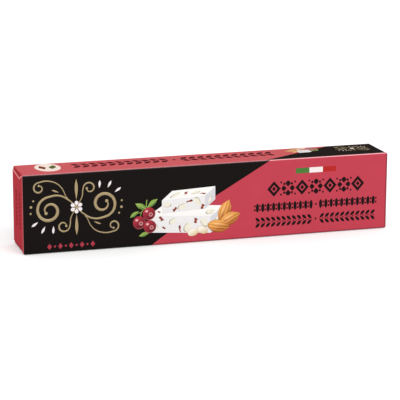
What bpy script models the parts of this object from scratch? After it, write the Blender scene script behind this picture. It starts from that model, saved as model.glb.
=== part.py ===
"""Shut paperboard carton of soft nougat, standing on one of its two narrow long sides.

The carton is one closed solid. Its four long panels are folded from one sheet, the back panel is
glued over a hidden seam flap along its lower edge, and each end is shut by an outer flap that is
hinged on the front panel and lies one board thickness proud of the flaps under it.
Metres, +Z up. The origin is on the resting face, under the middle of the carton.
"""
import math

import bmesh
import bpy
from mathutils import Vector

# Outside size of the shut carton
LENGTH = 0.192
DEPTH = 0.0248
HEIGHT = 0.040

# The sheet it is folded from
BOARD = 0.0004
FOLD_RADIUS = 0.00085
FOLD_SEGMENTS = 4

# Outer end flap: distances from its fold on the front panel, and from the top or bottom face
RELIEF_START = 0.0020
RELIEF_NOTCH = 0.0075
NOTCH_DROP = 0.0028
TIP_DROP = 0.0016
TIP_GAP = 0.0006

# Glue seam on the back: height of the back panel's raw lower edge
SEAM_HEIGHT = 0.0016

# How far a cutter runs past what it cuts, and how much it clears the faces that it leaves whole
CUT_MARGIN = 0.002
EASE_DEPTH = 0.00002
EASE_HEIGHT = 0.00003

# Colour, roughness and metallic value of the printed board
ROSE_BOARD = (0.560, 0.080, 0.105, 1.0)
BOARD_ROUGHNESS = 0.42


def clear_scene():
    for leftover in list(bpy.data.objects):
        bpy.data.objects.remove(leftover)


def make_collection(name):
    collection = bpy.data.collections.new(name)
    bpy.context.scene.collection.children.link(collection)
    return collection


def make_material(name, colour, roughness, metallic=0.0):
    material = bpy.data.materials.new(name)
    material.use_nodes = True
    shader = material.node_tree.nodes["Principled BSDF"]
    shader.inputs["Base Color"].default_value = colour
    shader.inputs["Roughness"].default_value = roughness
    shader.inputs["Metallic"].default_value = metallic
    return material


def rounded_block(name, collection, low, high, is_fold):
    """A box between two corners, with a rounded fold on each edge whose middle is_fold accepts."""
    mesh = bpy.data.meshes.new(name)
    size = [top - bottom for bottom, top in zip(low, high)]
    centre = Vector([(top + bottom) / 2 for bottom, top in zip(low, high)])
    box = bmesh.new()
    bmesh.ops.create_cube(box, size=1.0)
    bmesh.ops.scale(box, vec=size, verts=box.verts)
    bmesh.ops.translate(box, vec=centre, verts=box.verts)
    folds = [edge for edge in box.edges if is_fold((edge.verts[0].co + edge.verts[1].co) / 2)]
    bmesh.ops.bevel(
        box, geom=folds, offset=FOLD_RADIUS, offset_type="OFFSET",
        segments=FOLD_SEGMENTS, profile=0.5, affect="EDGES",
    )
    box.to_mesh(mesh)
    box.free()
    block = bpy.data.objects.new(name, mesh)
    collection.objects.link(block)
    return block


def sheet_outline(name, collection, outline, thickness, centre_x):
    """A flat outline in the YZ plane, extruded along X, as a closed mesh."""
    curve = bpy.data.curves.new(name, "CURVE")
    curve.dimensions = "2D"
    curve.fill_mode = "BOTH"
    curve.extrude = thickness / 2
    spline = curve.splines.new("POLY")
    spline.points.add(len(outline) - 1)
    for point, (across, up) in zip(spline.points, outline):
        point.co = (across, up, 0.0, 1.0)
    spline.use_cyclic_u = True
    drawn = bpy.data.objects.new(name + "_curve", curve)
    collection.objects.link(drawn)
    drawn.rotation_euler = (math.radians(90), 0.0, math.radians(90))
    drawn.location = (centre_x, 0.0, 0.0)
    bpy.context.view_layer.update()

    graph = bpy.context.evaluated_depsgraph_get()
    mesh = bpy.data.meshes.new_from_object(drawn.evaluated_get(graph))
    mesh.transform(drawn.matrix_world)
    bpy.data.objects.remove(drawn)
    welded = bmesh.new()
    welded.from_mesh(mesh)
    bmesh.ops.remove_doubles(welded, verts=welded.verts, dist=0.00001)
    bmesh.ops.recalc_face_normals(welded, faces=welded.faces)
    welded.to_mesh(mesh)
    welded.free()
    prism = bpy.data.objects.new(name, mesh)
    collection.objects.link(prism)
    return prism


def cut_away(target, cutter, name):
    step = target.modifiers.new(name, "BOOLEAN")
    step.operation = "DIFFERENCE"
    step.object = cutter
    cutter.hide_render = True
    cutter.display_type = "WIRE"


def flap_outline():
    """Outline of an outer end flap, drawn past the front, top and bottom faces that it is cut from."""
    front = -DEPTH / 2
    notch = front + RELIEF_NOTCH
    tip = DEPTH / 2 - TIP_GAP
    relief_slope = NOTCH_DROP / (RELIEF_NOTCH - RELIEF_START)
    start = front + RELIEF_START - CUT_MARGIN / relief_slope
    outside = start - CUT_MARGIN
    upper = [
        (outside, HEIGHT + CUT_MARGIN),
        (start, HEIGHT + CUT_MARGIN),
        (notch, HEIGHT - NOTCH_DROP),
        (tip, HEIGHT - TIP_DROP),
    ]
    lower = [(across, HEIGHT - up) for across, up in reversed(upper)]
    return upper + lower


def no_fold(middle):
    return False


def every_fold(middle):
    return True


def end_cutter(cutters, side, side_name):
    """What lies round an outer end flap, outwards of the flaps under it."""
    under_flap = LENGTH / 2 - BOARD
    reach = sorted((side * (under_flap - 2 * FOLD_RADIUS), side * (LENGTH / 2 + CUT_MARGIN)))
    cutter = rounded_block(
        "end_" + side_name, cutters,
        (reach[0], -DEPTH / 2 - CUT_MARGIN, -CUT_MARGIN),
        (reach[1], DEPTH / 2 + CUT_MARGIN, HEIGHT + CUT_MARGIN),
        no_fold,
    )
    flap = sheet_outline(
        "outer_flap_" + side_name, cutters, flap_outline(), LENGTH, side * LENGTH / 2,
    )
    panels = rounded_block(
        "panels_" + side_name, cutters,
        (-under_flap, -DEPTH / 2 - EASE_DEPTH, -EASE_HEIGHT),
        (under_flap, DEPTH / 2 + EASE_DEPTH, HEIGHT + EASE_HEIGHT),
        every_fold,
    )
    cut_away(cutter, flap, "outer_flap")
    cut_away(cutter, panels, "panels")
    return cutter


def seam_cutter(cutters):
    """What lies below the back panel's raw edge, outwards of the folded underside."""
    under_panel = DEPTH / 2 - BOARD
    cutter = rounded_block(
        "seam", cutters,
        (-LENGTH / 2 - CUT_MARGIN, under_panel - 2 * FOLD_RADIUS, -CUT_MARGIN),
        (LENGTH / 2 + CUT_MARGIN, DEPTH / 2 + CUT_MARGIN, SEAM_HEIGHT),
        no_fold,
    )
    underside = rounded_block(
        "underside", cutters,
        (-LENGTH, -DEPTH / 2, -EASE_DEPTH),
        (LENGTH, under_panel, HEIGHT),
        every_fold,
    )
    cut_away(cutter, underside, "underside")
    return cutter


def make_carton(parts, cutters):
    carton = rounded_block(
        "carton", parts,
        (-LENGTH / 2, -DEPTH / 2, 0.0),
        (LENGTH / 2, DEPTH / 2, HEIGHT),
        every_fold,
    )
    carton.data.materials.append(make_material("rose_board", ROSE_BOARD, BOARD_ROUGHNESS))
    cut_away(carton, end_cutter(cutters, -1, "left"), "left_end")
    cut_away(carton, end_cutter(cutters, 1, "right"), "right_end")
    cut_away(carton, seam_cutter(cutters), "glue_seam")
    return carton


clear_scene()
make_carton(make_collection("nougat_carton"), make_collection("cutters"))
bpy.context.view_layer.update()
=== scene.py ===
# %% [markdown]
# # A shut carton of soft nougat
# The real object is one sheet of printed folding board, scored, folded round a bar of nougat and
# glued shut. This lesson dresses a plain CAD block as that carton. The CAD block is loaded first and
# never changed, and every piece takes its place from the block's own box. All lengths are metres.

# %% Load the frame
import math
import random
from types import SimpleNamespace

import bpy
from mathutils import Matrix, Vector


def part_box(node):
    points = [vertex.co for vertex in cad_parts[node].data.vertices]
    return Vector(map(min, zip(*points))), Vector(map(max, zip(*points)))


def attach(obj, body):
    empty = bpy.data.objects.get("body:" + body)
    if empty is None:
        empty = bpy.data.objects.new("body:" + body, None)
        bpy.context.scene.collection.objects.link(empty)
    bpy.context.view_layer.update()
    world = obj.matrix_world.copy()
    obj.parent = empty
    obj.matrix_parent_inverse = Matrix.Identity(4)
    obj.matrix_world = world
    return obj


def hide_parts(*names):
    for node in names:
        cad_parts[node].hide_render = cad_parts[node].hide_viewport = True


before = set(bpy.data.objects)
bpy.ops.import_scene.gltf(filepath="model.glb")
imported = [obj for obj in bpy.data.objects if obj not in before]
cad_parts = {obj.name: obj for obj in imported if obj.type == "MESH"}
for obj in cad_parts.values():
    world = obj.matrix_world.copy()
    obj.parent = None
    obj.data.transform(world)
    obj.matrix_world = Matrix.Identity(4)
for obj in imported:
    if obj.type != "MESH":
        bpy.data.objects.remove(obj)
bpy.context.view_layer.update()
low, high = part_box("carton")
LEFT, FRONT, BASE = low
RIGHT, BACK, TOP = high
LENGTH = RIGHT - LEFT
DEPTH = BACK - FRONT
HEIGHT = TOP - BASE
MIDDLE = Vector((0.0, 0.0, BASE + HEIGHT / 2))
MM = 0.001
print(f"carton {LENGTH / MM:.1f} x {DEPTH / MM:.1f} x {HEIGHT / MM:.1f} mm")

# %% [markdown]
# ## The camera
# The photograph was taken with a long lens from a little above the carton and to its left. Seven
# corners of the carton give the direction, the distance and the focal length. The camera is turned
# with three unit vectors: the way it looks, its right and its up.

# %% Place the camera
LOOK_LEFT = math.radians(16.97)
LOOK_DOWN = math.radians(13.69)
CAMERA_ROLL = math.radians(0.16)
CAMERA_DISTANCE = 0.9737
CAMERA_ASIDE = -0.0015
CAMERA_BELOW = 0.0014
LENS_MM = 171.7
SENSOR_MM = 36.0
SIGHT = 20.0

ahead = Vector((
    math.sin(LOOK_LEFT) * math.cos(LOOK_DOWN),
    math.cos(LOOK_LEFT) * math.cos(LOOK_DOWN),
    -math.sin(LOOK_DOWN),
))
aside = Vector((math.cos(LOOK_LEFT), -math.sin(LOOK_LEFT), 0.0))
upward = aside.cross(ahead)
place = MIDDLE - ahead * CAMERA_DISTANCE + aside * CAMERA_ASIDE - upward * CAMERA_BELOW
turn = Matrix((aside, upward, -ahead)).transposed() @ Matrix.Rotation(CAMERA_ROLL, 3, "Z")

bpy.ops.object.camera_add(location=place, rotation=turn.to_euler())
camera = bpy.context.object
camera.name = "studio_camera"
camera.data.lens = LENS_MM
camera.data.sensor_width = SENSOR_MM
camera.data.clip_end = SIGHT
bpy.context.scene.camera = camera
print("camera at", [round(value, 3) for value in place])

# %% [markdown]
# ## Tools for modelling
# Operators act on whatever is selected, and a freshly loaded scene has its parts selected. So each
# step first selects just the piece that it works on. Faces are picked in code, by where they lie or
# which way they face.

# %% Helpers for selecting and shaping
SAME_POINT = 0.0001 * MM


def only(piece):
    """Select this piece alone and make it the active one."""
    if bpy.context.mode != "OBJECT":
        bpy.ops.object.mode_set(mode="OBJECT")
    bpy.ops.object.select_all(action="DESELECT")
    piece.select_set(True)
    bpy.context.view_layer.objects.active = piece


def add_box(name, lowest, highest):
    """A cube primitive between two corners, with its place and size in its mesh."""
    centre = [(a + b) / 2 for a, b in zip(lowest, highest)]
    size = [b - a for a, b in zip(lowest, highest)]
    bpy.ops.object.select_all(action="DESELECT")
    bpy.ops.mesh.primitive_cube_add(size=1.0, location=centre, scale=size)
    box = bpy.context.object
    box.name = name
    box.data.name = name
    bpy.ops.object.transform_apply(location=True, rotation=True, scale=True)
    return box


def edit_all(piece):
    """Enter edit mode on this piece, with all of it selected."""
    only(piece)
    bpy.ops.object.mode_set(mode="EDIT")
    bpy.ops.mesh.select_all(action="SELECT")


def cut_flat(piece, point, normal, wanted=None, throw_away=False):
    """Bisect a piece with a plane, and drop what lies on its normal's side if asked.

    A test of their middle and normal can choose the faces to cut.
    """
    edit_all(piece)
    bpy.ops.mesh.select_mode(type="FACE")
    bpy.ops.mesh.select_all(action="DESELECT")
    bpy.ops.object.mode_set(mode="OBJECT")
    for face in piece.data.polygons:
        face.select = wanted is None or wanted(face.center, face.normal)
    bpy.ops.object.mode_set(mode="EDIT")
    bpy.ops.mesh.bisect(
        plane_co=point, plane_no=normal.normalized(), threshold=SAME_POINT,
        use_fill=throw_away, clear_outer=throw_away,
    )
    bpy.ops.object.mode_set(mode="OBJECT")


def round_all_edges(piece):
    """Bevel every edge with the radius of the board's folds."""
    edit_all(piece)
    bpy.ops.mesh.bevel(offset=FOLD_RADIUS, segments=FOLD_SEGMENTS, profile=0.5, affect="EDGES")
    bpy.ops.object.mode_set(mode="OBJECT")


def combine(piece, other, operation):
    """A Boolean modifier, applied at once. The other piece is used up."""
    only(piece)
    step = piece.modifiers.new("combine", "BOOLEAN")
    step.operation = operation
    step.object = other
    bpy.ops.object.modifier_apply(modifier=step.name)
    bpy.data.objects.remove(other)


# %% [markdown]
# ## The folded board
# A folded carton has no sharp corners: board bends round its score lines with a radius of about
# twice its thickness. The carton is shut tight, so it is one body here: a box with rounded folds, from
# which the shallow steps round each end flap and under the glued lap at the back are cut. A step is as
# deep as the board is thick.

# %% Sizes of the board and its flaps
BOARD = 0.4 * MM
FOLD_RADIUS = 0.85 * MM
FOLD_SEGMENTS = 8
RELIEF_START = 2.0 * MM
RELIEF_NOTCH = 7.5 * MM
NOTCH_DROP = 2.8 * MM
TIP_DROP = 1.6 * MM
TIP_GAP = 0.6 * MM
SEAM_HEIGHT = 1.6 * MM
MARGIN = 2.0 * MM
EASE_DEPTH = 0.02 * MM
EASE_HEIGHT = 0.03 * MM

# %% Fold the carton
board = add_box("carton_board", low, high)
round_all_edges(board)
print("folded box:", len(board.data.polygons), "faces")

# %% [markdown]
# ## The end flaps
# Each end is shut by an outer flap hinged on the front panel. Its upper and lower edges are cut back
# in a shallow V, so that the flap clears the folds above and below it. The flap has a concave
# outline, but the gap above it is convex, so the gap is what gets modelled: a box sliced by the two
# slanting cuts. Less the rounded block of the panels underneath, it is exactly the board that has
# to go.

# %% Cut the steps round the end flaps
def end_reach(side):
    """From inside the folds of an end to beyond it, along the carton."""
    return sorted((side * (RIGHT - BOARD - 2 * FOLD_RADIUS), side * (RIGHT + MARGIN)))


def gap_beside_flap(side, upper):
    """The gap over (or under) the outer flap at one end."""
    notch = Vector((0.0, FRONT + RELIEF_NOTCH, TOP - NOTCH_DROP))
    start_run = Vector((0.0, RELIEF_START - RELIEF_NOTCH, NOTCH_DROP))
    tip_run = Vector((0.0, DEPTH - TIP_GAP - RELIEF_NOTCH, NOTCH_DROP - TIP_DROP))
    near, far = end_reach(side)
    gap = add_box("gap", (near, FRONT, TOP - 2 * NOTCH_DROP), (far, BACK + MARGIN, TOP + MARGIN))
    for run in (start_run, tip_run):
        below = Vector((0.0, run.z, -run.y))
        if below.z > 0:
            below.negate()
        cut_flat(gap, notch, below, throw_away=True)
    if not upper:
        edit_all(gap)
        bpy.ops.transform.rotate(value=math.pi, orient_axis="X", center_override=MIDDLE)
        bpy.ops.transform.mirror(constraint_axis=(False, True, False), center_override=(0.0, 0.0, 0.0))
        bpy.ops.mesh.normals_make_consistent(inside=False)
        bpy.ops.object.mode_set(mode="OBJECT")
    return gap


under_flap = RIGHT - BOARD
for side in (-1, 1):
    near, far = end_reach(side)
    cutter = add_box(
        "gap_behind_tip", (near, BACK - TIP_GAP, BASE - MARGIN), (far, BACK + MARGIN, TOP + MARGIN),
    )
    for upper in (True, False):
        combine(cutter, gap_beside_flap(side, upper), "UNION")
    panels = add_box(
        "panels",
        (-under_flap, FRONT - EASE_DEPTH, BASE - EASE_HEIGHT),
        (under_flap, BACK + EASE_DEPTH, TOP + EASE_HEIGHT),
    )
    round_all_edges(panels)
    combine(cutter, panels, "DIFFERENCE")
    combine(board, cutter, "DIFFERENCE")
print("with end flaps:", len(board.data.polygons), "faces")

# %% Cut the step under the glued lap
under_panel = BACK - BOARD
cutter = add_box(
    "seam",
    (LEFT - MARGIN, under_panel - 2 * FOLD_RADIUS, BASE - MARGIN),
    (RIGHT + MARGIN, BACK + MARGIN, BASE + SEAM_HEIGHT),
)
underside = add_box(
    "underside", (2 * LEFT, FRONT, BASE - EASE_DEPTH), (2 * RIGHT, under_panel, TOP),
)
round_all_edges(underside)
combine(cutter, underside, "DIFFERENCE")
combine(board, cutter, "DIFFERENCE")
print("with the glued lap:", len(board.data.polygons), "faces")

# %% [markdown]
# ## Shader sums
# Procedural finishes need a lot of small sums, and a Math node for each is hard to read. A small class
# wraps the output socket of a node, so that `1 - wear * 0.4` adds its own Math nodes. A second class
# holds a material while nodes are added to it. Its colours are laid one over another by Mix nodes.

# %% Numbers that vary over a surface
def feed(entry, value):
    """Link an input of a node to something that varies, or set it to a plain value or colour."""
    if isinstance(value, Varying):
        entry.id_data.links.new(value.socket, entry)
    elif entry.type == "RGBA":
        entry.default_value = (*value, 1.0)
    else:
        entry.default_value = value


def math_method(operation, swapped=False):
    """A method that passes a Varying, and another number if there is one, to a Math node."""
    def method(self, other=0.0):
        first, second = (other, self) if swapped else (self, other)
        return self.math(operation, first, second)
    return method


class Varying:
    """The output socket of a node, for use in sums and as an input of other nodes."""

    def __init__(self, socket):
        self.socket = socket

    def math(self, operation, first, second=0.0, clamp=False):
        node = self.socket.id_data.nodes.new("ShaderNodeMath")
        node.operation = operation
        node.use_clamp = clamp
        for entry, value in zip(node.inputs, (first, second)):
            feed(entry, value)
        return Varying(node.outputs[0])

    __add__ = __radd__ = math_method("ADD")
    __sub__ = math_method("SUBTRACT")
    __rsub__ = math_method("SUBTRACT", swapped=True)
    __mul__ = __rmul__ = math_method("MULTIPLY")
    __truediv__ = math_method("DIVIDE")
    __abs__ = math_method("ABSOLUTE")
    greater = math_method("MAXIMUM")
    root = math_method("SQRT")
    sine = math_method("SINE")
    cosine = math_method("COSINE")

    def step(self, start, end):
        """0 before start, 1 after end, and straight between."""
        scale = 1.0 / (end - start)
        return self.math("ADD", self * scale, -start * scale, clamp=True)


class Finish:
    """A material under construction, with its node tree and its Principled shader."""

    def __init__(self, name):
        self.material = bpy.data.materials.new(name)
        self.material.use_nodes = True
        self.tree = self.material.node_tree
        self.shader = self.tree.nodes["Principled BSDF"]

    def node(self, kind, settings=None, inputs=None, output=0):
        """Any node: its type, its settings, then the values or links of its sockets."""
        made = self.tree.nodes.new("ShaderNode" + kind)
        for name, value in (settings or {}).items():
            setattr(made, name, value)
        for name, value in (inputs or {}).items():
            feed(made.inputs[name], value)
        return Varying(made.outputs[output])

    def noise(self, where, size, detail=2.0):
        """Soft random patches, from 0 to 1, about as wide as size."""
        return self.node("TexNoise", inputs={"Vector": where, "Scale": 1.0 / size, "Detail": detail})

    def stretch(self, vector, amounts):
        return self.node("VectorMath", {"operation": "MULTIPLY"}, {0: vector, 1: amounts})

    def split(self, vector):
        """The three numbers of a place or a direction."""
        first = self.node("SeparateXYZ", inputs={"Vector": vector})
        return [Varying(socket) for socket in first.socket.node.outputs]

    def place(self):
        """Where a point lies on the carton."""
        return self.node("TexCoord", output=3)

    def spot(self):
        """Where a point lies in its own drawn shape."""
        return self.node("Attribute", {"attribute_name": "motif"}, output=1)

    def set(self, **values):
        """Values of the shader's own sockets, with underscores for spaces."""
        for name, value in values.items():
            feed(self.shader.inputs[name.replace("_", " ")], value)

    def colour(self, base, *coats):
        """A base colour under coats, each an amount and the colour that it brings."""
        for amount, coat in coats:
            base = self.node("Mix", {"data_type": "RGBA"}, {0: amount, 6: base, 7: coat}, output=2)
        self.set(Base_Color=base)

    def bump(self, height, depth):
        self.set(Normal=self.node("Bump", inputs={"Height": height, "Distance": depth, "Strength": 1.0}))


# %% [markdown]
# ## Printed board
# Folding board is white fibre with a smooth coating, printed in solid inks and varnished. Solid ink on
# board is never quite even: it mottles in soft patches, and the fibres underneath give the surface a
# fine grain. Along a fold the coating stretches and the ink wears off first, so a pale line shows
# there, most of all on the upper folds, where the line is also a painted highlight of the rounded fold
# catching the light. Some folds are painted darker instead, as painted shade: the lower ones, which
# turn under, and the one at the right of each wide panel, which turns away from the light. The ink also
# breaks off in a thin fringe along the upper cut of an end flap, and the gap behind the flap's tip is
# painted in shade. All of this comes from where a point lies on the carton: on a flat panel only one of
# its distances to the panels is small, on a fold two.

# %% Where the ink is worn, and where highlight and shade are painted
FRINGE = 0.5 * MM


def on_board(finish):
    """A point's place, and how far it lies from the end, the side and the level panel nearest to it."""
    x, y, z = finish.split(finish.place())
    return SimpleNamespace(
        x=x, y=y, z=z,
        from_end=RIGHT - abs(x), from_side=BACK - abs(y), from_level=HEIGHT / 2 - abs(z - MIDDLE.z),
    )


def on_fold(first, second, start, end):
    """0 on a panel, rising to 1 where both distances are small, from start to end in fold radii."""
    return first.greater(second).step(start * FOLD_RADIUS, end * FOLD_RADIUS)


def by_height(at, start, end):
    """0 before a share of the carton's height, rising to 1 at another."""
    return at.z.step(BASE + start * HEIGHT, BASE + end * HEIGHT)


def worn_and_lit_folds(at, upright_share):
    """Worn ink and a painted highlight: 0 on a panel, rising to 1 along an upper long fold and to a
    share of that along an upright one.

    A distance counts for less on the panel that the pale line reaches over, and for more on the other.
    """
    long_fold = on_fold(at.from_side * 0.35, at.from_level * 1.7, 0.65, 0.35)
    upright_fold = on_fold(at.from_side * 0.25, at.from_end * 2.5, 0.60, 0.30)
    return long_fold * by_height(at, 0.3, 0.7) + upright_fold * upright_share


def shaded_folds(at):
    """Painted shade: 0 on a panel, rising to 1 on a lower long fold and on the right upright fold of a
    wide panel.
    """
    long_fold = on_fold(at.from_side, at.from_level, 1.0, 0.5)
    near_end = at.from_end.step(1.4 * FOLD_RADIUS, 0.9 * FOLD_RADIUS)
    near_side = at.from_side.step(1.5 * FOLD_RADIUS, FOLD_RADIUS)
    at_right = (at.x * at.y).step(0.0, -LENGTH * DEPTH / 8)
    return (long_fold * by_height(at, 0.4, 0.3)).greater(near_end * near_side * at_right)


def behind_tip(at):
    """0 on an end, rising to 1 towards the shaded gap behind the tip of its flap."""
    return at.y.step(BACK - 3.0 * TIP_GAP, BACK - 1.5 * TIP_GAP)


def frayed_flap(at):
    """1 along the upper cut edges of an end flap, within a fringe's width of the gap beside them."""
    from_front = at.y - FRONT
    start_slope = NOTCH_DROP / (RELIEF_NOTCH - RELIEF_START)
    tip_slope = (NOTCH_DROP - TIP_DROP) / (DEPTH - TIP_GAP - RELIEF_NOTCH)
    under_start = at.from_level - (from_front - RELIEF_START) * start_slope
    under_tip = at.from_level - ((from_front - RELIEF_NOTCH) * -tip_slope + NOTCH_DROP)
    fringe = (under_start * 0.6).greater(under_tip).step(FRINGE, 0.3 * FRINGE)
    return fringe * at.from_end.step(BOARD / 2, BOARD / 4) * by_height(at, 0.4, 0.6)


# %% Finish of the printed board
# Colours of the pale fold line and the frayed fringe: worn ink, with a painted highlight on the folds.
PALE_WEAR_AND_HIGHLIGHT = (0.840, 0.410, 0.440)
ROSY_WEAR_AND_HIGHLIGHT = (0.860, 0.310, 0.330)
FRAYED_SHARE = 1.2
SHADED_SHARE = 0.45
GRAIN = 0.25 * MM
FIBRE = 1.1 * MM
MOTTLE = 14.0 * MM
WAVES = 45.0 * MM
VARNISH_ROUGHNESS = 0.37


def shades(ink, *shares):
    """An ink's colour times each share."""
    return [tuple(part * share for part in ink) for share in shares]


def board_print(name, ink, specular, fold_wear_and_highlight, upright_share=0.22, on_end=False, frayed=False):
    """Solid ink on coated board under a satin varnish."""
    finish = Finish(name)
    at = on_board(finish)
    where = finish.place()
    mottle = finish.noise(where, MOTTLE, detail=3.0)
    fibre = finish.noise(where, FIBRE, detail=3.0)
    grain = finish.noise(where, GRAIN)
    waves = finish.noise(where, WAVES, detail=1.0)
    # The pale line along the folds is worn ink and a painted highlight together.
    worn_and_lit = worn_and_lit_folds(at, upright_share) * fold_wear_and_highlight
    # Painted shade: darker on the lower folds, the right upright fold of a wide panel and, on an end, behind
    # the flap's tip.
    under = shaded_folds(at)
    if on_end:
        under = under.greater(behind_tip(at))
    if frayed:
        worn_and_lit = worn_and_lit + frayed_flap(at) * FRAYED_SHARE
    worn_and_lit = (worn_and_lit * (fibre * 1.2 + 0.4)).step(0.0, 1.0)
    shaded, deeper, lighter = shades(ink, SHADED_SHARE, 0.90, 1.10)
    finish.colour(
        deeper,
        (mottle * 0.75 + fibre * 0.25, lighter),
        (under, shaded),
        (worn_and_lit, ROSY_WEAR_AND_HIGHLIGHT if on_end else PALE_WEAR_AND_HIGHLIGHT),
    )
    finish.set(Roughness=mottle * 0.10 + worn_and_lit * 0.15 + VARNISH_ROUGHNESS, Specular_IOR_Level=specular)
    finish.bump(grain * 0.2 + fibre * 0.3 + waves * 6.0, depth=0.02 * MM)
    return finish.material


# The top's inks are lighter than the front's: a painted sheen, which stands for the varnish's glancing
# reflection, while the top's specular is turned down.
BOARD_INKS = {
    "rose_front": dict(ink=(0.398, 0.0388, 0.0600), specular=0.08, fold_wear_and_highlight=1.2),
    "rose_top": dict(ink=(0.465, 0.0740, 0.0830), specular=0.005, fold_wear_and_highlight=0.5),
    "rose_end": dict(
        ink=(0.400, 0.0385, 0.0505), specular=0.0, fold_wear_and_highlight=0.55, upright_share=0.55, on_end=True, frayed=True,
    ),
    # The inner flap's rose is darker than the end's: painted shade in the recess under the outer flap.
    "rose_inner_shaded": dict(ink=(0.330, 0.0290, 0.0385), specular=0.0, fold_wear_and_highlight=0.0, on_end=True),
    "black_front": dict(ink=(0.0030, 0.0015, 0.0011), specular=0.08, fold_wear_and_highlight=0.3),
    "black_top": dict(ink=(0.0150, 0.0112, 0.0102), specular=0.0, fold_wear_and_highlight=0.3),
}
BOARD_FINISHES = {name: board_print(name, **look) for name, look in BOARD_INKS.items()}
print("board finishes:", ", ".join(BOARD_FINISHES))

# %% [markdown]
# ## Raw board edges
# Where the board is cut, its white fibres show, tinted by the ink beside them. The cut is a fine
# fibrous line, so the finish is streaked in thin layers along the edge.

# %% Finish of a cut edge
raw_edge = Finish("raw_edge")
layers = raw_edge.noise(raw_edge.stretch(raw_edge.place(), (8.0, 1.0, 1.0)), 1.5 * MM, detail=4.0)
raw_edge.colour((0.740, 0.250, 0.260), (layers.step(0.3, 0.7), (0.880, 0.400, 0.410)))
raw_edge.set(Roughness=0.85, Specular_IOR_Level=0.0)
raw_edge.bump(layers, depth=0.03 * MM)
BOARD_FINISHES["raw_edge"] = raw_edge.material

# %% [markdown]
# ## Fields of colour
# The front is black on the left and rose on the right, parted by a slanting line with a slight bend.
# The narrow top is the same design read from behind, so its black lies on the right. The line is cut
# into the mesh with a bisect for each straight stretch, because an edge of the mesh stays crisp however
# close one looks, and each face then takes the ink of its side. A stretch is a start, a run and the
# normal of its plane. The hidden back and underside repeat the front and the top.

# %% Find the panel of a face
END_REACH = 2.4
WIDE_REACH = 0.2


def panel_of(facing):
    """The panel that a face belongs to. The ink of a wide panel reaches well round each of its folds."""
    along, across, up = (abs(part) for part in facing)
    if along > max(END_REACH * across, up):
        return "left" if facing.x < 0 else "right"
    if across > WIDE_REACH * up:
        return "front" if facing.y < 0 else "back"
    return "top" if facing.z > 0 else "underside"


# %% Cut the slanting lines into the panels
DIAGONAL = ((64.9, 0.0), (99.9, 24.0), (128.0, 40.0))
TOP_DIAGONAL = ((124.3, 0.0), (168.8, 24.8))


def mirrored(vector):
    return Vector((-vector.x, vector.y, vector.z))


def stretches(places, facing):
    """The start, the run and the plane's normal of each stretch of a line on a panel."""
    return [(start, end - start, (end - start).cross(facing)) for start, end in zip(places, places[1:])]


front_line = [Vector((LEFT + along * MM, FRONT, BASE + up * MM)) for along, up in DIAGONAL]
top_line = [Vector((LEFT + along * MM, FRONT + back * MM, TOP)) for along, back in TOP_DIAGONAL]
SLANTS = {
    "front": stretches(front_line, Vector((0.0, -1.0, 0.0))),
    "top": stretches(top_line, Vector((0.0, 0.0, 1.0))),
}
for panel, opposite in (("front", "back"), ("top", "underside")):
    SLANTS[opposite] = [tuple(mirrored(vector) for vector in stretch) for stretch in SLANTS[panel]]
for panel, line_stretches in SLANTS.items():
    for start, _, normal in line_stretches:
        cut_flat(board, start, normal, lambda middle, facing: panel_of(facing) == panel)
print("board:", len(board.data.polygons), "faces")

# %% Give each face its ink
SQUARE = 0.01
DOWNWARD = -0.9
SMOOTH_ANGLE = math.radians(30)


def finish_of(middle, facing):
    """The finish of a face, from its middle and the way that it faces."""
    if abs(facing.x) < SQUARE and abs(middle.x) > RIGHT - BOARD + SAME_POINT:
        return "raw_edge"
    if facing.z < DOWNWARD and middle.z > BASE + SEAM_HEIGHT / 2:
        return "raw_edge"
    panel = panel_of(facing)
    if panel in ("left", "right"):
        # The inner flap in its recess takes its rose with painted shade.
        inner = abs(facing.x) > 1 - SQUARE and abs(middle.x) < RIGHT - BOARD / 2
        return "rose_inner_shaded" if inner else "rose_end"
    start, _, normal = SLANTS[panel][0]
    for stretch in SLANTS[panel][1:]:
        if (middle - stretch[0]).dot(stretch[1]) > 0:
            start, _, normal = stretch
    past = (middle - start).dot(normal) > 0
    dark = past == (panel in ("top", "underside"))
    kind = "front" if panel in ("front", "back") else "top"
    return ("black_" if dark else "rose_") + kind


slot_of = {name: index for index, name in enumerate(BOARD_FINISHES)}
for material in BOARD_FINISHES.values():
    board.data.materials.append(material)
for face in board.data.polygons:
    face.material_index = slot_of[finish_of(face.center, face.normal)]
only(board)
bpy.ops.object.shade_smooth_by_angle(angle=SMOOTH_ANGLE)
step = board.modifiers.new("flat_panels", "WEIGHTED_NORMAL")
step.keep_sharp = True
bpy.ops.object.modifier_apply(modifier=step.name)
print("faces of each finish:", {
    name: sum(face.material_index == index for face in board.data.polygons)
    for name, index in slot_of.items()
})

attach(board, "root")
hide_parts("carton")

# %% [markdown]
# ## Tools for drawing the print
# The print on top of the two grounds is drawn with curves, as in a drawing program. An outline starts
# as a Bezier circle, whose points are moved and made sharp or smooth, and a line is a curve with a
# width at each point. Either becomes a mesh plate that starts just inside the board and ends a hair
# above it, a little higher for each layer of ink, so that no two faces lie in one place. Shapes are
# drawn flat and upright round the origin, in millimetres, and remember how far each point lies from
# their own middle, for finishes that shade a berry or an almond.

# %% Turn a drawn curve into a plate
INK_SINK = 0.02 * MM
INK_STEP = 0.02 * MM
DRAWN_UPRIGHT = (math.radians(90), 0.0, 0.0)


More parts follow.
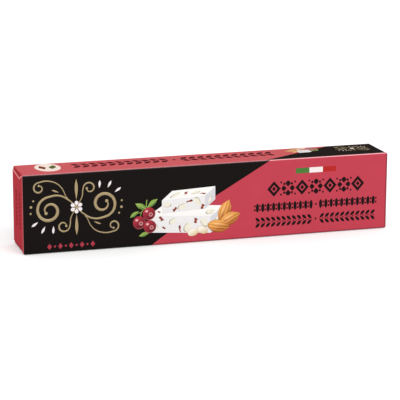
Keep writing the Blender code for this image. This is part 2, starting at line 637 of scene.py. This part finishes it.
def remember_middle(piece, tone):
    """Store each point's place from -1 to 1 across the piece, with a tone between the two numbers."""
    places = [point.co for point in piece.data.vertices]
    lowest = [min(place[axis] for place in places) for axis in (0, 2)]
    highest = [max(place[axis] for place in places) for axis in (0, 2)]
    spots = piece.data.attributes.new("motif", "FLOAT_VECTOR", "POINT")
    for spot, place in zip(spots.data, places):
        across, up = (
            2 * (place[axis] - bottom) / (top - bottom) - 1
            for axis, bottom, top in zip((0, 2), lowest, highest)
        )
        spot.vector = (across, tone, up)


def settle(piece, layer, tone):
    """Make a drawn curve a closed mesh that ends in flat planes below and above the board."""
    only(piece)
    bpy.ops.object.convert(target="MESH")
    bpy.ops.object.transform_apply(location=True, rotation=True, scale=True)
    for point in piece.data.vertices:
        point.co.y = -layer * INK_STEP if point.co.y < 0 else INK_SINK
    edit_all(piece)
    bpy.ops.mesh.remove_doubles(threshold=SAME_POINT)
    bpy.ops.mesh.dissolve_degenerate(threshold=SAME_POINT)
    bpy.ops.mesh.normals_make_consistent(inside=False)
    bpy.ops.object.mode_set(mode="OBJECT")
    remember_middle(piece, tone)
    return piece


def run_through(spline, points, sharp=()):
    """Move a spline's points to places (across, up) in mm, smooth but for the numbers in sharp."""
    spline.bezier_points.add(len(points) - len(spline.bezier_points))
    for index, (point, (across, up)) in enumerate(zip(spline.bezier_points, points)):
        kind = "VECTOR" if index in sharp else "AUTO"
        point.handle_left_type = kind
        point.handle_right_type = kind
        point.co = (across * MM, up * MM, 0.0)


# %% Draw an outline or a line
def new_curve(add, smooth):
    """An upright curve from one of the curve primitives, with its data."""
    bpy.ops.object.select_all(action="DESELECT")
    add(rotation=DRAWN_UPRIGHT)
    drawn = bpy.context.object
    drawn.data.resolution_u = smooth
    return drawn, drawn.data


def shape(points, sharp=(), layer=1, tone=0.0, hole=None, smooth=5):
    """A filled outline through points (across, up). sharp lists the numbers of its corners."""
    drawn, curve = new_curve(bpy.ops.curve.primitive_bezier_circle_add, smooth)
    curve.dimensions = "2D"
    curve.fill_mode = "BOTH"
    curve.extrude = INK_STEP
    run_through(curve.splines[0], points, sharp)
    if hole:
        run_through(curve.splines.new("BEZIER"), hole, sharp)
        curve.splines[1].use_cyclic_u = True
    return settle(drawn, layer, tone)


def line(points, widths, layer):
    """A smooth line through points (across, up), with a width at each of them."""
    drawn, curve = new_curve(bpy.ops.curve.primitive_bezier_curve_add, smooth=4)
    curve.twist_mode = "Z_UP"
    curve.bevel_depth = MM / math.sqrt(2)
    curve.bevel_resolution = 0
    curve.use_fill_caps = True
    spline = curve.splines[0]
    spline.radius_interpolation = "LINEAR"
    run_through(spline, points)
    for point, width in zip(spline.bezier_points, widths):
        point.radius = width
        point.tilt = math.radians(45)
    return settle(drawn, layer, tone=0.0)


# %% Place copies and join them
def moved(piece, across=0.0, up=0.0, turned=0.0, size=(1.0, 1.0)):
    """A drawn piece, sized, then turned anticlockwise in degrees, then moved in mm."""
    piece.data.transform(
        Matrix.Translation((across * MM, 0.0, up * MM))
        @ Matrix.Rotation(-math.radians(turned), 4, "Y")
        @ Matrix.Diagonal((size[0], 1.0, size[1], 1.0))
    )
    if size[0] * size[1] < 0:
        piece.data.flip_normals()
    return piece


def placed(piece, *place, **more):
    """A copy of a drawn piece, moved in the same way."""
    copy = piece.copy()
    copy.data = piece.data.copy()
    bpy.context.collection.objects.link(copy)
    return moved(copy, *place, **more)


def joined(pieces):
    """Several drawn pieces as one mesh. The pieces are used up."""
    if len(pieces) > 1:
        bpy.ops.object.select_all(action="DESELECT")
        for piece in pieces:
            piece.select_set(True)
        bpy.context.view_layer.objects.active = pieces[0]
        bpy.ops.object.join()
    return pieces[0]


def dropped(*pieces):
    """Clear away drawn pieces once their copies are in place."""
    for piece in pieces:
        bpy.data.objects.remove(piece)


# %% [markdown]
# ## From the drawing to the panels
# A drawing lies upright in the XZ plane, with its front towards -Y. Each panel has a matrix that lays
# such a drawing on it, measured from the panel's lower left corner as one reads it. The front, the
# back and the ends are read upright. The top is read from behind the carton, and the underside with the
# carton rolled onto its back, so each is its neighbour's design turned round. Every printed colour
# gathers its copies in a list, which becomes one piece at the end.

# %% Lay drawings on the panels
PANEL_PLACES = {
    "front": Matrix(((1, 0, 0, LEFT), (0, 1, 0, FRONT), (0, 0, 1, BASE), (0, 0, 0, 1))),
    "back": Matrix(((-1, 0, 0, RIGHT), (0, -1, 0, BACK), (0, 0, 1, BASE), (0, 0, 0, 1))),
    "top": Matrix(((-1, 0, 0, RIGHT), (0, 0, -1, BACK), (0, -1, 0, TOP), (0, 0, 0, 1))),
    "underside": Matrix(((1, 0, 0, LEFT), (0, 0, -1, BACK), (0, 1, 0, BASE), (0, 0, 0, 1))),
    "left": Matrix(((0, 1, 0, LEFT), (-1, 0, 0, BACK), (0, 0, 1, BASE), (0, 0, 0, 1))),
    "right": Matrix(((0, -1, 0, RIGHT), (1, 0, 0, FRONT), (0, 0, 1, BASE), (0, 0, 0, 1))),
}
printed = {}


def stamp(ink, piece, panels, across, up, size=1.0, turned=0.0):
    """Lay a copy of a drawn piece on each panel, in the ink's list."""
    for panel in panels:
        copy = placed(piece, across, up, turned, size=(size, size))
        copy.data.transform(PANEL_PLACES[panel])
        printed.setdefault(ink, []).append(copy)


def publish(ink, material):
    """Join all that is printed in one ink, give it its finish and make it part of the carton."""
    piece = joined(printed[ink])
    piece.name = ink
    piece.data.name = ink
    piece.data.materials.clear()
    piece.data.materials.append(material)
    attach(piece, "root")
    print(ink + ":", len(piece.data.polygons), "faces")


WIDE_PANELS = ("front", "back")
NARROW_PANELS = ("top", "underside")
ENDS = ("left", "right")

# %% [markdown]
# ## Dark ornament rows
# The rose field carries three rows of old printers' ornament: a bold row of rosettes and pierced
# lozenges, a row of beads and dots, and a laurel row. Each motif is drawn once, from a lens, a lozenge
# or an oval, and copied along its row. A small lozenge parts the halves of the two finer rows. The
# laurel row comes back on the top, larger and in a dark red, and two short upright lengths of it stand
# on each end, hardly darker than the board. A place on a panel is across and up in millimetres, with
# a size where the drawing grows or shrinks.

# %% Draw the motifs of the rows
LENS = [(0.0, -1.0), (0.5, 0.0), (0.0, 1.0), (-0.5, 0.0)]


def scaled(outline, wide, tall):
    return [(across * wide, up * tall) for across, up in outline]


lozenge = shape(scaled(LENS, 2.0, 1.0), sharp=range(4), smooth=1)
oval = shape([(1.0, 0.0), (0.0, 1.0), (-1.0, 0.0), (0.0, -1.0)])
petal = shape([(0.0, 0.0), (0.45, 1.25), (0.0, 2.0), (-0.45, 1.25)], sharp=(0, 2))

tall_petal = placed(petal, up=0.75, size=(2.9, 1.65))
wide_petal = placed(petal, across=0.75, turned=-90, size=(3.0, 1.42))
rosette = joined([
    tall_petal, placed(tall_petal, turned=180), wide_petal, placed(wide_petal, turned=180),
    *(placed(oval, across, up, size=(0.62, 0.62)) for up in (-2.3, 2.3) for across in (-2.05, 2.05)),
])
pierced = joined([
    shape(scaled(LENS, 7.2, 4.05), sharp=range(4), hole=scaled(LENS, 3.7, 2.08), smooth=1),
    placed(lozenge, size=(1.05, 1.2)),
])
bead_and_dots = joined([
    placed(oval, size=(0.86, 2.3)),
    *(placed(oval, across=1.45, up=up, size=(0.5, 0.5)) for up in (1.05, -1.05)),
])
leaf_pair = joined([
    placed(petal, up=0.12, turned=-46, size=(1.65, 1.82)),
    placed(petal, up=-0.12, turned=-134, size=(1.65, 1.82)),
    placed(oval, across=1.75, size=(0.36, 0.36)),
])

# %% Set the rows
ROW_MIDDLE = 152.8
BOLD_ROW_UP = 24.9
BOLD_STEP = 7.6
BEAD_ROW_UP = 15.5
BEAD_STEP = 2.9
BEAD_SPAN = (2.6, 32.9)
LAUREL_ROW_UP = 7.8
LAUREL_STEP = 2.8
LAUREL_SPAN = (2.0, 32.1)
TOP_ROW = (110.6, 9.8, 1.62)
END_ROWS = ((9.3, 19.5, 0.75), (17.0, 19.5, 0.75))

bold_row = []
for place in range(-3, 4):
    motif = pierced if place % 2 else rosette
    bold_row.append(placed(motif, across=place * BOLD_STEP))
    if place < 3:
        bold_row += [
            placed(oval, across=(place + 0.5) * BOLD_STEP, up=up, size=(0.5, 0.5)) for up in (-3.2, 3.2)
        ]
bead_row = [placed(lozenge, size=(0.6, 0.7))]
laurel_row = [placed(lozenge, size=(0.6, 0.7))]
for side in (-1, 1):
    for row, motif, (across, end), step in (
        (bead_row, bead_and_dots, BEAD_SPAN, BEAD_STEP), (laurel_row, leaf_pair, LAUREL_SPAN, LAUREL_STEP),
    ):
        while across < end:
            row.append(placed(motif, across=side * across, size=(side, 1.0)))
            across += step
end_row = joined([placed(leaf_pair, across=place * LAUREL_STEP) for place in range(-4, 5)])
for place in END_ROWS:
    stamp("end_rows", end_row, ENDS, *place, turned=90)
dropped(end_row)
for row, up in ((bold_row, BOLD_ROW_UP), (bead_row, BEAD_ROW_UP), (laurel_row, LAUREL_ROW_UP)):
    whole = joined(row)
    stamp("dark_rows", whole, WIDE_PANELS, ROW_MIDDLE, up)
    if row is laurel_row:
        stamp("top_rows", whole, NARROW_PANELS, *TOP_ROW)
    dropped(whole)

# %% [markdown]
# ## Gold scrollwork
# The black field carries an ornament in a dull gold ink, with a flower and buds in white. One half is
# drawn, and a copy turned half a circle completes it, so that the large scrolls form one long S. Each
# scroll starts at a small ball, opens round its eye into a stem, worked out by a small loop, and swells
# in the middle of its length like a pen stroke. What crosses lies in layers of its own.

# %% Draw one half of the scrollwork
SPIRAL_STEPS = 10
SPIRAL_OPENING = 1.2


def spiral(eye, turns, smallest, largest, end, way):
    """Points round an eye, opening out to the largest radius at the end angle, in degrees."""
    count = round(turns * SPIRAL_STEPS)
    points = []
    for number in range(count + 1):
        opened = number / count
        radius = smallest + (largest - smallest) * opened ** SPIRAL_OPENING
        angle = math.radians(end - way * (1 - opened) * turns * 360)
        points.append((eye[0] + radius * math.cos(angle), eye[1] + radius * math.sin(angle)))
    return points


def ball_at(place, radius, layer, smooth=5):
    return moved(shape(scaled(LENS, 2 * radius, radius), layer=layer, smooth=smooth), *place)


def scroll(points, thin, thick, ball, layer):
    """A pen stroke that starts at a ball and ends thin, and swells between."""
    last = len(points) - 1
    widths = [thin + (thick - thin) * math.sin(math.pi * number / last) for number in range(last + 1)]
    return joined([line(points, widths, layer=layer), ball_at(points[0], ball, layer + 1)])


BIG_EYE = (13.6, 0.9)
SMALL_EYE = (6.7, 9.2)
LOW_EYE = (18.8, -10.6)
half = joined([
    scroll(
        spiral(BIG_EYE, 1.35, 2.2, 7.0, end=270, way=-1) + [(8.4, -6.3), (3.6, -3.6), (0.0, 0.0)],
        0.5, 1.55, ball=0.8, layer=1,
    ),
    scroll(
        spiral(SMALL_EYE, 1.0, 1.4, 3.3, end=180, way=1) + [(2.9, 5.2), (0.8, 1.4)],
        0.4, 0.85, ball=0.6, layer=2,
    ),
    scroll(
        spiral(LOW_EYE, 1.0, 1.3, 3.0, end=270, way=-1) + [(13.2, -13.9), (8.2, -11.2), (4.9, -4.9)],
        0.4, 0.85, ball=0.55, layer=3,
    ),
    ball_at((4.9, -4.8), 0.6, layer=4),
    placed(petal, 0.0, 3.5, size=(1.7, 5.4)),
    placed(petal, 8.6, -7.9, turned=-112, size=(0.9, 2.1)),
    *(
        placed(oval, across, up, size=(size, size))
        for across, up, size in ((21.7, -4.4, 0.5), (22.9, -1.4, 0.65), (23.1, 1.9, 0.5))
    ),
])
scrollwork = joined([half, placed(half, turned=180), ball_at((0.0, 0.0), 0.85, layer=5)])

FLOWER_PETALS = 6
white_petal = shape([(0.0, 0.7), (0.95, 2.3), (0.0, 3.2), (-0.95, 2.3)], sharp=(0,), layer=4)
bud = shape([(0.0, 0.0), (0.58, 2.6), (0.0, 4.1), (-0.58, 2.6)], sharp=(0, 2))
flower = joined(
    [placed(white_petal, turned=360 / FLOWER_PETALS * number) for number in range(FLOWER_PETALS)]
    + [
        placed(bud, way * across, way * up, turned=turned + 90 * (1 - way))
        for way in (1, -1)
        for across, up, turned in ((11.7, 8.8, -4), (15.9, 8.7, -28), (19.4, 6.3, -56))
    ]
)
dropped(white_petal, bud)

# %% Set the scrollwork and the small row under it
SCROLLWORK = (26.9, 22.6)
TOP_SCROLLWORK = (14.0, 9.6, 0.38)
SMALL_ROW = (24.0, 3.3)
SMALL_ROW_STEP = 2.75

for ink, piece in (("gold_scrollwork", scrollwork), ("white_fields", flower)):
    stamp(ink, piece, WIDE_PANELS, *SCROLLWORK)
    stamp(ink, piece, NARROW_PANELS, *TOP_SCROLLWORK)
small_row = joined([
    placed(oval, place * SMALL_ROW_STEP, size=(0.55, 0.55)) if place % 2
    else placed(lozenge, place * SMALL_ROW_STEP, size=(1.2, 1.55))
    for place in range(-4, 5)
])
stamp("rose_row", small_row, WIDE_PANELS, *SMALL_ROW)
dropped(scrollwork, flower, small_row)

# %% [markdown]
# ## Plain fields
# A short bar in green, white and red stands over the rows. A cream oval with a leaf and a lozenge lies
# on the top.

# %% Bar and oval
BAR_LEFT = 141.7
BAR_LOW = 32.2
BAR_FIELD = 7.3
BAR_TALL = 2.75
SEAL = (176.1, 9.8)
SEAL_SIZE = (12.9, 8.6)
LEAF_MARK = (173.5, 9.4)
LOZENGE_MARK = (178.8, 9.4)

field = shape([(0, 0), (BAR_FIELD, 0), (BAR_FIELD, BAR_TALL), (0, BAR_TALL)], sharp=range(4), smooth=1)
for number, ink in enumerate(("green_fields", "white_fields", "red_fields")):
    stamp(ink, field, WIDE_PANELS, BAR_LEFT + number * BAR_FIELD, BAR_LOW)
seal = shape(scaled(LENS, *SEAL_SIZE), smooth=12)
leaf_mark = shape([(0.0, -4.2), (1.8, 0.5), (0.0, 4.2), (-1.8, -0.5)], sharp=(0, 2), layer=2)
lozenge_mark = shape(scaled(LENS, 3.8, 4.2), sharp=range(4), layer=2, smooth=1)
stamp("cream_seal", seal, NARROW_PANELS, *SEAL)
stamp("green_mark", leaf_mark, NARROW_PANELS, *LEAF_MARK, turned=-14)
stamp("red_mark", lozenge_mark, NARROW_PANELS, *LOZENGE_MARK, turned=10)
dropped(field, seal, leaf_mark, lozenge_mark)

# %% [markdown]
# ## The picture
# A pack of sweets shows what is inside. This picture is a simple drawing: two bars of white nougat, one
# on the other, with a sprig of berries to their left and almonds fanned out to their right. Each bar is
# three fields, its top, front and end, laid out from three edges as in any oblique drawing, and each
# field keeps its own tone. Bits of nut and fruit lie in the plane of their field, so they are drawn
# square and then slanted by the same two edges.

# %% Lay out the bars
TOP_TONE = 1.0
FRONT_TONE = 0.55
END_TONE = 0.0
LOWER_BAR = ((9.4, 3.6), (32.4, -2.4), (7.6, 5.0), (0.0, 8.8))
UPPER_BAR = ((16.2, 12.9), (22.6, 1.0), (5.4, 4.6), (0.0, 6.8))


def plus(*vectors):
    return tuple(sum(parts) for parts in zip(*vectors))


def bar_fields(bar):
    """The corner, the two edges and the tone of each field of a bar, given by its corner and edges."""
    corner, along, back, up = bar
    return [
        (plus(corner, up), along, back, TOP_TONE),
        (corner, along, up, FRONT_TONE),
        (plus(corner, along), back, up, END_TONE),
    ]


def slanted(piece, corner, first, second):
    """A piece, drawn with 1 mm as its unit, laid in the plane of a field."""
    piece.data.transform(Matrix((
        (first[0], 0.0, second[0], corner[0] * MM),
        (0.0, 1.0, 0.0, 0.0),
        (first[1], 0.0, second[1], corner[1] * MM),
        (0.0, 0.0, 0.0, 1.0),
    )))
    return piece


bars = []
for bar, layer in ((LOWER_BAR, 1), (UPPER_BAR, 2)):
    for corner, first, second, tone in bar_fields(bar):
        outline = [corner, plus(corner, first), plus(corner, first, second), plus(corner, second)]
        bars.append(shape(outline, sharp=range(4), layer=layer, tone=tone, smooth=1))
bars = joined(bars)

# %% Scatter nuts and fruit over the bars
BITS_LAYER = 3
NUT_SIZE = 2.6
FRUIT_SIZE = 1.35
NUT_SPREAD = (0.8, 1.1)
FRUIT_SPREAD = (0.7, 1.15)
TALL_SPREAD = (0.8, 1.1)
END_FIELD = 2
END_SHARE = 0.7
random.seed(7)

nut_bit = shape(
    [(1.0, 0.05), (0.2, 0.66), (-0.95, 0.2), (-0.3, -0.6), (0.6, -0.5)], layer=BITS_LAYER, smooth=4,
)
fruit_bits = [
    shape(outline, sharp=corners, layer=BITS_LAYER, smooth=3) for outline, corners in (
        ([(1.1, 0.15), (0.3, 0.45), (-0.5, 1.0), (-1.0, 0.1), (-0.25, -0.15), (0.1, -0.9)], (0, 2, 5)),
        (
            [(1.5, 0.5), (0.5, 0.15), (-0.5, 0.4), (-1.4, 0.2), (-1.0, -0.45), (0.1, -0.3), (1.0, -0.25)],
            (0, 3),
        ),
    )
]


def bit_on(piece, bar, field, along, up, size):
    """A bit on a bar's top (0), front (1) or end (2), at a share of each edge, turned at random."""
    corner, first, second = bar_fields(bar)[field][:3]
    unit = [tuple(part / math.hypot(*edge) for part in edge) for edge in (first, second)]
    turned = placed(piece, turned=random.uniform(0, 360), size=(size, size * random.uniform(*TALL_SPREAD)))
    spot = plus(corner, tuple(part * along for part in first), tuple(part * up for part in second))
    return slanted(turned, spot, *unit)


def spots_on(upper, lower):
    """Each spot with its bar."""
    return [(UPPER_BAR, *spot) for spot in upper] + [(LOWER_BAR, *spot) for spot in lower]


NUT_SPOTS = spots_on(
    upper=[
        (0, 0.20, 0.45), (0, 0.66, 0.52), (1, 0.13, 0.62), (1, 0.46, 0.36), (1, 0.82, 0.66), (2, 0.50, 0.35),
    ],
    lower=[
        (0, 0.90, 0.40), (1, 0.10, 0.36), (1, 0.38, 0.66), (1, 0.62, 0.30), (1, 0.90, 0.60), (2, 0.45, 0.62),
    ],
)
FRUIT_SPOTS = spots_on(
    upper=[(0, 0.42, 0.60), (0, 0.88, 0.30), (1, 0.29, 0.22), (1, 0.64, 0.72), (1, 0.95, 0.22)],
    lower=[
        (0, 0.08, 0.35), (1, 0.24, 0.30), (1, 0.50, 0.24), (1, 0.76, 0.74), (2, 0.70, 0.25), (1, 0.20, 0.80),
    ],
)
nuts = joined([
    bit_on(
        nut_bit, *spot,
        size=NUT_SIZE * random.uniform(*NUT_SPREAD) * (END_SHARE if spot[1] == END_FIELD else 1.0),
    )
    for spot in NUT_SPOTS
])
fruit = joined([
    bit_on(fruit_bits[number % len(fruit_bits)], *spot, size=FRUIT_SIZE * random.uniform(*FRUIT_SPREAD))
    for number, spot in enumerate(FRUIT_SPOTS)
])
dropped(nut_bit, *fruit_bits)

# %% [markdown]
# ## Berries, leaves and almonds
# Everything round the bars is an oval, a lens or a drop. Its finish paints the roundness: a soft light
# from the upper left, a darker rim, and what marks the kind, such as the veins of an almond. To keep
# that light in one place, a shape's tone is its turn, which the finish takes back.

# %% Draw the sprig and the almonds
BERRY_RADIUS = 3.3
LEAF = [(3.6, 0.0), (0.6, 1.45), (-3.6, 0.0), (0.2, -1.35)]
ALMOND = [(6.0, 0.0), (1.2, 3.008), (-3.72, 2.56), (-6.0, 0.0), (-3.72, -2.56), (1.2, -3.008)]
PEELED_HALF = [(2.9, 0.0), (0.4, 1.95), (-2.7, 0.2), (0.2, -1.8)]


def turned_shape(outline, across, up, turned, size=1.0, sharp=(), layer=1):
    """A shape in its place, which keeps its own turn as its tone."""
    drawn = shape(outline, sharp=sharp, layer=layer, tone=math.radians(turned), smooth=6)
    return moved(drawn, across, up, turned, size=(size, size))


berries = joined([
    ball_at(place, BERRY_RADIUS, layer, smooth=8)
    for layer, place in enumerate(((9.5, 13.4), (4.4, 9.1), (9.9, 6.7)), start=8)
])
leaves = [
    turned_shape(LEAF, *place, sharp=(0, 2), layer=7) for place in (
        (5.6, 17.4, 152, 1.0), (11.2, 18.6, 38, 0.95), (1.9, 13.6, 214, 0.75), (7.0, 3.0, 196, 0.8),
    )
]
stems = [
    line([(8.4, 20.6), (8.2, 17.4), (9.4, 14.6)], [0.5, 0.45, 0.4], layer=4),
    line([(8.2, 17.6), (5.6, 14.4), (4.8, 11.0)], [0.45, 0.4, 0.35], layer=5),
    line([(5.6, 14.4), (3.8, 14.0), (2.6, 13.7)], [0.35, 0.3, 0.3], layer=6),
]
leaves = joined(leaves + stems)
almonds = joined([
    turned_shape(ALMOND, *place, sharp=(0,), layer=layer)
    for layer, place in enumerate(((49.4, 12.4, 68), (52.2, 8.0, 26), (46.2, 4.4, -10)), start=4)
])
halves = joined([
    turned_shape(PEELED_HALF, *place, layer=layer)
    for layer, place in enumerate(((32.4, 2.0, 14), (37.4, 3.0, -20)), start=7)
])

# %% Set the picture
# On the narrow top the picture is closed up: the nuts and the sprig are larger beside smaller bars.
PICTURE = (54.5, 3.2)
TOP_BARS = (32.2, 5.4, 0.27)
TOP_SPRIG = (31.8, 2.2, 0.40)
TOP_ALMONDS = (18.6, 1.8, 0.55)
TOP_HALVES = (22.6, 2.0, 0.50)

for ink, piece, on_top in (
    ("nougat_bars", bars, TOP_BARS), ("nut_bits", nuts, TOP_BARS), ("fruit_bits", fruit, TOP_BARS),
    ("berries", berries, TOP_SPRIG), ("leaves", leaves, TOP_SPRIG),
    ("almonds", almonds, TOP_ALMONDS), ("peeled_nuts", halves, TOP_HALVES),
):
    stamp(ink, piece, WIDE_PANELS, *PICTURE)
    stamp(ink, piece, NARROW_PANELS, *on_top)
    dropped(piece)

# %% [markdown]
# ## Finishes of the print
# A printed ink has no thickness to speak of: it takes the grain and the mottle of the board, and differs
# in colour and gloss. Plain inks share one function. The gold ink holds fine metal flakes, so it is
# partly metallic and sparkles a little in its roughness.

# %% Plain inks and gold
INK_MOTTLE = 6.0 * MM
INK_ROUGHNESS = 0.39
FLAKES = 0.12 * MM


def ink_finish(name, colour, specular=0.08, spread=0.10):
    """A solid ink, a little lighter and darker from place to place."""
    finish = Finish(name)
    where = finish.place()
    mottle = finish.noise(where, INK_MOTTLE, detail=3.0)
    fibre = finish.noise(where, FIBRE, detail=3.0)
    deeper, lighter = shades(colour, 1 - spread, 1 + spread)
    finish.colour(deeper, (mottle * 0.5 + fibre * 0.5, lighter))
    finish.set(Roughness=fibre * 0.12 + INK_ROUGHNESS, Specular_IOR_Level=specular)
    finish.bump(fibre * 0.4 + finish.noise(where, GRAIN) * 0.2, depth=0.02 * MM)
    return finish


INKS = {
    "dark_rows": dict(name="dark_ink", colour=(0.0075, 0.0018, 0.0026)),
    "top_rows": dict(name="dark_red_ink", colour=(0.045, 0.0055, 0.0080), specular=0.0),
    "rose_row": dict(name="rose_ink", colour=(0.300, 0.0300, 0.0480)),
    "green_fields": dict(name="green_ink", colour=(0.052, 0.149, 0.030)),
    "white_fields": dict(name="white_ink", colour=(0.675, 0.612, 0.612), spread=0.02),
    "red_fields": dict(name="red_ink", colour=(0.355, 0.0150, 0.0135)),
    "gold_scrollwork": dict(name="gold_ink", colour=(0.328, 0.250, 0.138)),
    "cream_seal": dict(name="cream_ink", colour=(0.720, 0.610, 0.540), specular=0.0, spread=0.02),
    "green_mark": dict(name="olive_ink", colour=(0.090, 0.105, 0.030), specular=0.0),
    "red_mark": dict(name="russet_ink", colour=(0.170, 0.034, 0.018), specular=0.0),
    "end_rows": dict(name="end_ink", colour=(0.228, 0.0165, 0.0235), specular=0.0),
}
finishes = {ink: ink_finish(**look) for ink, look in INKS.items()}
gold = finishes["gold_scrollwork"]
gold.set(Metallic=0.35, Roughness=gold.noise(gold.place(), FLAKES) * 0.25 + 0.38)

# %% [markdown]
# ## Painted fields of the picture
# The picture's finishes shade each shape as a painter would. They read the place that every point
# keeps from its own middle, and the turn of its shape, so that the light comes from the upper left
# on all of them. Each starts from a base colour and lays further coats over it.

# %% Where a point lies in its own shape
def toward_light(across, turned, up):
    """From -1 to 1, how far a point lies towards the upper left, whatever the turn of its shape."""
    cosine = turned.cosine()
    sine = turned.sine()
    true_across = across * cosine - up * sine
    true_up = across * sine + up * cosine
    return true_up * 0.8 - true_across * 0.55


def from_middle(across, up):
    return (across * across + up * up).root()


def painted(ink, name, roughness=0.42):
    """The finish of one ink of the picture, with the places of its points and their tone or turn."""
    finish = Finish(name)
    finish.set(Roughness=roughness, Specular_IOR_Level=0.08)
    finish.bump(finish.noise(finish.place(), FIBRE, detail=3.0), depth=0.01 * MM)
    finishes[ink] = finish
    return finish, *finish.split(finish.spot())


# %% Nougat, nuts and fruit
finish, _, tone, up = painted("nougat_bars", "nougat_print")
crumb = finish.noise(finish.place(), 1.6 * MM, detail=4.0)
shade = tone * 0.75 + crumb * 0.25 + up * 0.04
finish.colour((0.480, 0.470, 0.500), (shade.step(0.0, 0.95), (0.730, 0.715, 0.690)))

finish, across, _, up = painted("nut_bits", "nut_print")
blush = finish.noise(finish.place(), 2.0 * MM, detail=3.0)
rim = from_middle(across, up).step(0.70, 0.92) * (up * 0.9 - across * 0.5 + blush).step(0.2, 0.9)
finish.colour((0.590, 0.540, 0.420), (blush, (0.700, 0.680, 0.600)), (rim * 0.8, (0.240, 0.210, 0.140)))

finish = painted("fruit_bits", "fruit_print")[0]
pulp = finish.noise(finish.place(), 0.9 * MM, detail=3.0)
finish.colour((0.130, 0.016, 0.010), (pulp.step(0.40, 0.75), (0.420, 0.110, 0.070)))

# %% Berries
finish, across, turned, up = painted("berries", "berry_print", roughness=0.3)
lit = toward_light(across, turned, up)
rim_light = from_middle(across, up).step(0.80, 0.98) * (lit * -1.0).step(-0.2, 0.9)
gleam = from_middle(across + 0.38, (up - 0.42) * 1.25).step(0.30, 0.10)
from_crown = from_middle(across - 0.28, up + 0.14)
crown = from_crown.step(0.34, 0.28) * from_crown.step(0.12, 0.18)
finish.colour(
    (0.085, 0.006, 0.012),
    (lit.step(-0.8, 0.9), (0.340, 0.026, 0.042)),
    (rim_light * 0.5, (0.560, 0.170, 0.170)),
    (gleam * 0.8, (0.800, 0.480, 0.480)),
    (crown * 0.75, (0.640, 0.270, 0.270)),
    (from_crown.step(0.15, 0.08), (0.050, 0.004, 0.006)),
)

# %% Leaves
finish, across, turned, up = painted("leaves", "leaf_print")
lit = toward_light(across, turned, up)
midrib = abs(up).step(0.16, 0.05)
side_veins = ((across - abs(up) * 0.5) * 16.0).sine().step(0.75, 1.0) * abs(up).step(0.95, 0.5)
finish.colour(
    (0.050, 0.110, 0.015),
    (lit.step(-0.9, 0.9), (0.210, 0.330, 0.060)),
    (midrib * 0.6 + side_veins * 0.3, (0.400, 0.520, 0.180)),
)

# %% Almonds and peeled nuts
finish, across, turned, up = painted("almonds", "almond_print")
lit = toward_light(across, turned, up)
uneven = finish.noise(finish.stretch(finish.spot(), (1.0, 0.4, 3.0)), 0.9, detail=3.0)
swell = (1.15 - across * across).greater(0.05).root()
veins = (up / swell * 13.0 + uneven * 7.0).sine().step(-0.9, 0.9)
edge = from_middle(across * 0.98, up * 0.98).step(0.80, 1.0)
glow = from_middle(across + 0.1, up * 1.5 - 0.45).step(0.55, 0.0) * lit.step(-0.3, 0.6)
finish.colour(
    (0.300, 0.090, 0.018),
    ((lit * 0.55 + veins * 0.45 + uneven * 0.4 + 0.05).step(0.1, 1.0), (0.720, 0.350, 0.095)),
    (edge * 0.55, (0.180, 0.050, 0.010)),
    (glow * 0.45, (0.900, 0.620, 0.320)),
)

finish, across, turned, up = painted("peeled_nuts", "peeled_print")
lit = toward_light(across, turned, up)
edge = from_middle(across, up).step(0.82, 1.0)
finish.colour(
    (0.520, 0.400, 0.230), (lit.step(-0.9, 0.7), (0.740, 0.700, 0.600)), (edge * 0.4, (0.420, 0.270, 0.110)),
)

# %% [markdown]
# ## Publish the print
# Every list of copies becomes one piece of its own ink.

# %% One piece for each ink
dropped(lozenge, oval, petal, rosette, pierced, bead_and_dots, leaf_pair)
for ink, finish in finishes.items():
    publish(ink, finish.material)

# %% [markdown]
# ## Studio
# The photograph has a white ground without an edge and hardly a shadow. So the floor is a wide pale
# sheet that is lit through from below a little, as a light table is, the room is white all round, and
# one large soft light from the front lifts the front and the top over the left end. The Standard view
# keeps the printed colours as they are, where the usual film-like view would dull them.

# %% Floor, room and light
FLOOR_SIZE = 12.0
PRINT_ROOM = 0.25 * MM
LIGHT_PLACE = Vector((0.45, -1.8, 1.5))
LIGHT_SIZE = 1.6
LIGHT_POWER = 29.0
ROOM_STRENGTH = 1.0
TABLE_GLOW = 0.28

scene = bpy.context.scene
scene.view_settings.view_transform = "Standard"
bpy.ops.object.select_all(action="DESELECT")
bpy.ops.mesh.primitive_plane_add(size=FLOOR_SIZE, location=(0.0, 0.0, BASE - PRINT_ROOM))
floor = bpy.context.object
floor.name = "studio_floor"
finish = Finish("pale_floor")
cloud = finish.noise(finish.place(), 0.4, detail=3.0)
finish.colour((0.69, 0.69, 0.69), (cloud, (0.71, 0.71, 0.71)))
finish.set(
    Roughness=0.9, Specular_IOR_Level=0.0, Emission_Color=(1.0, 1.0, 1.0), Emission_Strength=TABLE_GLOW,
)
floor.data.materials.append(finish.material)

bpy.ops.object.light_add(type="AREA", location=LIGHT_PLACE)
softbox = bpy.context.object
softbox.name = "softbox"
softbox.data.size = LIGHT_SIZE
softbox.data.energy = LIGHT_POWER
softbox.rotation_euler = LIGHT_PLACE.to_track_quat("Z", "Y").to_euler()

scene.world = scene.world or bpy.data.worlds.new("white_room")
scene.world.use_nodes = True
room = scene.world.node_tree.nodes["Background"]
room.inputs["Color"].default_value = (1.0, 1.0, 1.0, 1.0)
room.inputs["Strength"].default_value = ROOM_STRENGTH
